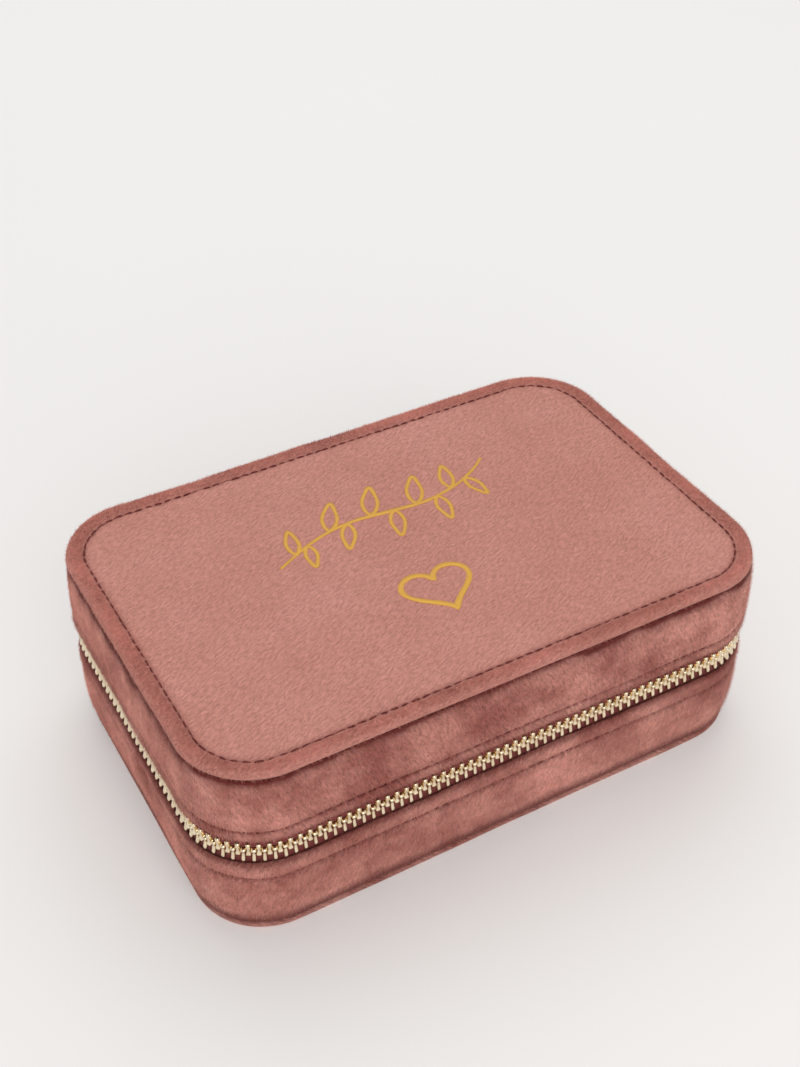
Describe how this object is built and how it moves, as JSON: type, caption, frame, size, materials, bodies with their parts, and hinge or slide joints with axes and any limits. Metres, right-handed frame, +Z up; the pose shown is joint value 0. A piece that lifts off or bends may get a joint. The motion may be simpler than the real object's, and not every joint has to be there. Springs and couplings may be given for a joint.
{
  "type": "travel jewelry case",
  "caption": "Zip-round velvet travel jewelry case with a hinged padded lid, ring rolls, loose dividers, lid pocket and hooks",
  "frame": {"origin": "middle of the case's underside", "axes": "+Z up, +X along the long side towards the zip slider, -Y towards the front edge that opens"},
  "size_m": [0.1653, 0.106, 0.056],
  "materials": {
    "velvet": "short pile, dusty rose",
    "inner_plush": "short pile, soft",
    "lining_cloth": "matte suede cloth",
    "grey_board": "raw",
    "thin_foam": "open cell foam, stated as fabric",
    "zip_tape": "woven tape, dark wine",
    "pale_gold": "polished, champagne plated",
    "elastic_band": "ribbed elastic",
    "strip_leather": "smooth grain"
  },
  "bodies": {
    "base": {"base_bottom_panel": "velvet", "base_bottom_board": "grey_board", "base_wall_board": "grey_board", "base_side_band": "velvet", "base_zip_tape": "zip_tape", "base_zip_teeth": "pale_gold", "base_top_stop": "pale_gold", "zip_bottom_stop": "pale_gold", "base_lining": "lining_cloth", "ring_roll_1": "inner_plush", "ring_roll_2": "inner_plush", "ring_roll_3": "inner_plush", "ring_roll_4": "inner_plush", "ring_roll_5": "inner_plush", "fixed_divider": "inner_plush", "hinge_gusset": "velvet", "hinge_strip": "lining_cloth"},
    "lid": {"lid_top_panel": "velvet", "lid_padding": "thin_foam", "lid_top_board": "grey_board", "lid_wall_board": "grey_board", "lid_side_band": "velvet", "lid_zip_tape": "zip_tape", "lid_zip_teeth": "pale_gold", "lid_top_stop": "pale_gold", "lid_lining": "lining_cloth", "lid_pocket": "lining_cloth", "lid_pocket_elastic": "elastic_band", "necklace_hook_strip": "strip_leather", "necklace_hook_1": "pale_gold", "necklace_hook_2": "pale_gold", "necklace_hook_3": "pale_gold"},
    "slider": {"zip_slider_body": "pale_gold", "zip_slider_bail": "pale_gold"},
    "pull_link": {"zip_pull_link": "pale_gold"},
    "pull_tab": {"zip_pull_tab": "pale_gold"},
    "divider_long": {"removable_divider_long": "inner_plush"},
    "divider_short": {"removable_divider_short": "inner_plush"}
  },
  "joints": [
    {"name": "lid_hinge", "type": "hinge", "parent": "base", "child": "lid", "pos_m": [0, 0.0513, 0.0299], "axis": [-1, 0, 0], "range_deg": [0, 115], "deforming": ["hinge_gusset", "hinge_strip"]},
    {"name": "slider_travel", "type": "slide", "parent": "base", "child": "slider", "axis": [0, -1, 0], "range_m": [0, 0.055], "deforming": ["base_zip_teeth", "lid_zip_teeth"]},
    {"name": "pull_link_swing", "type": "hinge", "parent": "slider", "child": "pull_link", "pos_m": [0.08345, 0.027, 0.0299], "axis": [0, -1, 0], "range_deg": [0, 150]},
    {"name": "pull_tab_swing", "type": "hinge", "parent": "pull_link", "child": "pull_tab", "pos_m": [0.08345, 0.027, 0.0238], "axis": [1, 0, 0], "range_deg": [-60, 60]},
    {"name": "long_divider_lift", "type": "slide", "parent": "base", "child": "divider_long", "axis": [0, 0, 1], "range_m": [0, 0.018]},
    {"name": "short_divider_lift", "type": "slide", "parent": "base", "child": "divider_short", "axis": [0, 0, 1], "range_m": [0, 0.018]}
  ]
}
